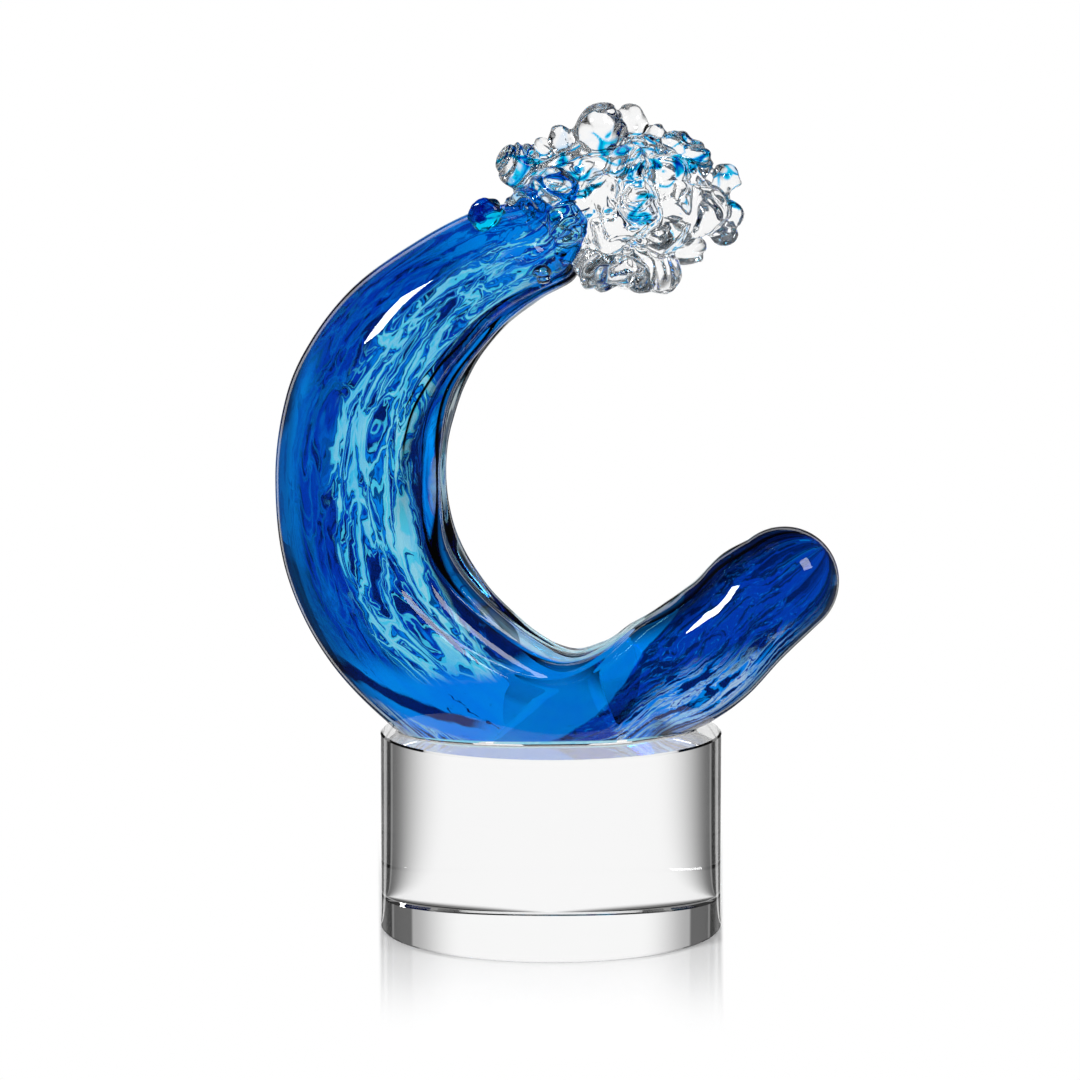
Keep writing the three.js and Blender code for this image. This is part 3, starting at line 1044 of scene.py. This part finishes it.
class AWARD_OT_wave(bpy.types.Operator):
    """Build the wave's outer glass with its foam crest"""

    bl_idname = "award.wave"
    bl_label = "Wave and foam"

    def execute(self, context):
        settings = context.scene.award_wave
        mesh = bmesh.new()
        rings, sides = settings.rings, settings.sides
        swept(mesh, WAVE_ROWS, rings, sides, WAVE_ENDS, rib_cut, turn_at=rib_turn)
        wave_skin = bvhtree.BVHTree.FromBMesh(mesh)
        wave = finish_mesh("wave_glass", mesh)
        foam = self.foam(settings)
        foam_skin = bvhtree.BVHTree.FromObject(foam, bpy.context.evaluated_depsgraph_get())
        fuse = wave.modifiers.new("fuse", "BOOLEAN")
        fuse.operation = "UNION"
        fuse.solver = "MANIFOLD"
        fuse.object = foam
        applied(wave)
        bpy.data.objects.remove(foam)
        self.melt_seam(wave, wave_skin, foam_skin)
        grind_foot(wave, HAIR)
        lay_grain(wave, wave_map())
        beads = ["foam_bead_%02d" % (place + 1) for place in range(len(FOAM_BEADS))]
        nodes = ["wave_casing", "crest_gather", "coiled_bead", "small_drop", *beads]
        place_piece(wave, casing_glass(), nodes)
        return {"FINISHED"}

    def foam(self, settings):
        """The crest with its beads, drops and strands, fused and melted, with folds on its skin."""
        mesh = bmesh.new()
        swept(mesh, CREST_ROWS, 80, 80, CREST_ENDS, crest_cut)
        body = bmesh.new()
        swept(body, CREST_ROWS, 80, 80, CREST_ENDS, crest_cut)
        swept(body, WAVE_ROWS, 120, 60, WAVE_ENDS, uncut)
        skin = bvhtree.BVHTree.FromBMesh(body)
        body.free()
        for bead in FOAM_BEADS:
            add_bead(mesh, CREST_ROWS, bead)
        add_bead(mesh, WAVE_ROWS, SMALL_DROP)
        self.fill_drops(mesh)
        lay_coil(mesh)
        for side in (-1, 1):
            for radius, *points in STRANDS:
                lay_strand(mesh, skin, radius, points, side)
            for curl in CURLS:
                lay_curl(mesh, skin, curl, side)
        lay_strand(mesh, skin, SMALL_HOOK[0], SMALL_HOOK[1:], -1)
        foam = fused(finish_mesh("foam", mesh), settings.voxel, settings.melt)
        outward = [vert.normal.copy() for vert in foam.data.vertices]
        for vert, normal in zip(foam.data.vertices, outward):
            vert.co += normal * (settings.fold * (foam_fold(vert.co / MM) - FOLD_DROP) * MM)
        return melted(foam, settings.melt // 3)

    def fill_drops(self, mesh):
        """Drops sunk in the crest at random places, except along its underside."""
        random.seed(FILL_SEED)
        for _ in range(FILL_DROPS):
            section = Section(CREST_ROWS, random.uniform(0.02, 0.9))
            radius = random.uniform(*FILL_RADII)
            angle = random.uniform(0, 2 * math.pi)
            outward = section.outward(angle)
            place = section.point(angle, 1) - outward * radius * random.uniform(0.2, 0.7)
            if math.cos(angle) < 0.7:
                ball(mesh, place, radius)

    def melt_seam(self, wave, wave_skin, foam_skin):
        """Smooths the line where the foam meets the wave."""
        mesh = bmesh.new()
        mesh.from_mesh(wave.data)
        seam = []
        for vert in mesh.verts:
            at_wave = wave_skin.find_nearest(vert.co / MM, SEAM_REACH)[0]
            if at_wave and foam_skin.find_nearest(vert.co, SEAM_REACH * MM)[0]:
                seam.append(vert)
        for _ in range(SEAM_ROUNDS):
            bmesh.ops.smooth_vert(
                mesh, verts=seam, factor=0.5, use_axis_x=True, use_axis_y=True, use_axis_z=True
            )
        mesh.to_mesh(wave.data)
        mesh.free()


class AWARD_OT_layers(bpy.types.Operator):
    """Build the coloured glass inside the wave"""

    bl_idname = "award.layers"
    bl_label = "Colour layers"

    def execute(self, context):
        wave = wave_map()
        layers = (
            ("aqua_layer", AQUA_WALLS, aqua_glass(), "aqua_glass", "aqua_sleeve"),
            ("cobalt_layer", COBALT_WALLS, cobalt_glass(), "cobalt_glass", "cobalt_core"),
        )
        for layer in layers:
            self.layer(wave, *layer)
        return {"FINISHED"}

    def layer(self, wave, name, walls, glass, slot, node_name):
        """A body inside the wave's skin, with walls of casing outside it."""
        mesh = bmesh.new()
        ends = [length - walls[0] for length in WAVE_ENDS]
        swept(mesh, WAVE_ROWS, 220, 100, ends, uncut, walls)
        piece = finish_mesh(name, mesh)
        grind_foot(piece, walls[0] / 8)
        lay_grain(piece, wave)
        place_piece(piece, glass, [node_name])


class AWARD_OT_stage(bpy.types.Operator):
    """Set the floor, the light and the camera"""

    bl_idname = "award.stage"
    bl_label = "Stage"

    def execute(self, context):
        self.floor(context.scene.award_stage)
        self.world()
        self.lamp("window_light", (-0.9, -0.9, 1.0), (0.32, 0.38), 13)
        self.lamp("fill_light", (1.0, -0.6, 0.9), (0.5, 0.5), 5)
        self.camera(context.scene)
        context.scene.view_settings.view_transform = "Standard"
        context.scene.cycles.use_denoising = True
        context.scene.cycles.max_bounces = BOUNCES
        context.scene.cycles.transmission_bounces = BOUNCES
        context.scene.cycles.transparent_max_bounces = CLEAR_BOUNCES
        return {"FINISHED"}

    def floor(self, settings):
        """A floor that shades and mirrors the base near it, and is plain white further out."""
        mesh = bmesh.new()
        low = Matrix.Translation((0, 0, -HAIR))
        bmesh.ops.create_grid(mesh, x_segments=1, y_segments=1, size=FLOOR_SIZE, matrix=low)
        floor = finish_mesh("floor", mesh)
        material, tree = new_material("floor")
        place = object_place(tree)
        reach = node(tree, "ShaderNodeVectorMath", {"operation": "LENGTH"}, Vector=place)
        reach = Shade(tree, reach.outputs["Value"])
        x, y, _ = parted(tree, place)
        camera, passed, mirrored = ray_kinds(tree)
        matt = node(
            tree,
            "ShaderNodeBsdfPrincipled",
            Base_Color=(*settings.floor_colour, 1),
            Roughness=0.5,
            Specular_IOR_Level=0.0,
            Coat_Weight=(1 - reach.between(*SHINE_REACH)) * 0.95,
            Coat_Roughness=0.03,
        )
        glow = node(tree, "ShaderNodeEmission", Color=(1, 1, 1, 1), Strength=1.0)
        card = node(tree, "ShaderNodeEmission", Color=(0, 0, 0, 1), Strength=1.0)
        # Painted light: to rays that passed through or mirrored in the glass, the floor glows as
        # bright as the studio beyond it.
        level = self.floor_level(tree, x, y, reach, passed, mirrored)
        lit = self.mix(tree, camera + level, card, glow)
        # The strip keeps its width in the photograph's view, as a mirror image does.
        away = -CAMERA_PLACE[1] * MM
        aside = abs(x) * away / (y + away)
        open_floor = reach.between(*SHADE_REACH).maths("MAXIMUM", aside.between(*STRIP_EDGE))
        mix = self.mix(tree, camera * open_floor + passed + mirrored, matt, lit)
        out = node(tree, "ShaderNodeOutputMaterial")
        tree.links.new(mix.outputs[0], out.inputs["Surface"])
        floor.data.materials.append(material)

    def floor_level(self, tree, x, y, reach, passed, mirrored):
        """How bright the glass sees the floor: as the studio beyond it, from the base's rim."""
        way = node(
            tree,
            "ShaderNodeCombineXYZ",
            X=abs(x) - mirrored * (BASE_RADIUS * MM) + passed * (FLOOR_DIP * MM),
            Y=y - passed * (BASE_RADIUS * MM),
            Z=-FLOOR_DIP * MM,
        )
        # Painted light: under the base the floor glows white for rays that passed through the
        # glass, in place of the light that the glass lets through onto it.
        under = passed * (1 - reach.between(BASE_RADIUS * MM, (BASE_RADIUS + 2) * MM))
        far = passed * reach.between(*FAR_REACH) * 0.6
        level = studio_level(tree, way.outputs[0], passed, mirrored).maths("MAXIMUM", under)
        return level.maths("MAXIMUM", far)

    def mix(self, tree, factor, first, second):
        """A mix of two shaders."""
        made = node(tree, "ShaderNodeMixShader")
        join(tree, made.inputs[0], factor)
        tree.links.new(first.outputs[0], made.inputs[1])
        tree.links.new(second.outputs[0], made.inputs[2])
        return made

    def world(self):
        """White to the camera, while the glass sees the studio with its cards and dim ceiling."""
        world = bpy.data.worlds.new("studio")
        bpy.context.scene.world = world
        world.use_nodes = True
        tree = world.node_tree
        tree.nodes.clear()
        way = node(tree, "ShaderNodeTexCoord").outputs["Generated"]
        camera, passed, mirrored = ray_kinds(tree)
        level = studio_level(tree, way, passed, mirrored)
        strength = camera + level + (1 - camera - passed - mirrored) * WORLD_LEVEL
        back = node(tree, "ShaderNodeBackground", Color=(1, 1, 1, 1), Strength=strength)
        out = node(tree, "ShaderNodeOutputWorld")
        tree.links.new(back.outputs[0], out.inputs["Surface"])

    def lamp(self, name, place, size, power):
        """A soft box that is aimed at the wave."""
        light = bpy.data.lights.new(name, "AREA")
        light.shape = "RECTANGLE"
        light.size, light.size_y = size
        light.energy = power
        lamp = bpy.data.objects.new(name, light)
        lamp.location = place
        aim = Vector(LAMP_AIM) - Vector(place)
        lamp.rotation_euler = aim.to_track_quat("-Z", "Y").to_euler()
        bpy.context.scene.collection.objects.link(lamp)

    def camera(self, scene):
        data = bpy.data.cameras.new("camera")
        data.lens = CAMERA_LENS
        data.sensor_width = 36
        data.clip_end = 20
        camera = bpy.data.objects.new("camera", data)
        camera.location = Vector(CAMERA_PLACE) * MM
        camera.rotation_euler = (math.radians(90 - CAMERA_TILT), 0, 0)
        scene.collection.objects.link(camera)
        scene.camera = camera


class AWARD_PT_panel(bpy.types.Panel):
    """Lists the steps that build the award"""

    bl_label = "Glass wave"
    bl_idname = "AWARD_PT_panel"
    bl_space_type = "VIEW_3D"
    bl_region_type = "UI"
    bl_category = "Glass Wave"

    def draw(self, context):
        for step in STEPS:
            self.layout.operator(step.bl_idname)


STEPS = (AWARD_OT_base, AWARD_OT_wave, AWARD_OT_layers, AWARD_OT_stage)
CLASSES = (WaveSettings, GlassSettings, StageSettings, *STEPS, AWARD_PT_panel)


def register():
    for each in CLASSES:
        bpy.utils.register_class(each)
    bpy.types.Scene.award_wave = PointerProperty(type=WaveSettings)
    bpy.types.Scene.award_glass = PointerProperty(type=GlassSettings)
    bpy.types.Scene.award_stage = PointerProperty(type=StageSettings)


def unregister():
    del bpy.types.Scene.award_stage
    del bpy.types.Scene.award_glass
    del bpy.types.Scene.award_wave
    for each in reversed(CLASSES):
        bpy.utils.unregister_class(each)


def main():
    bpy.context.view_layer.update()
    register()
    bpy.ops.award.base()
    bpy.ops.award.wave()
    bpy.ops.award.layers()
    bpy.ops.award.stage()


if __name__ == "__main__":
    main()
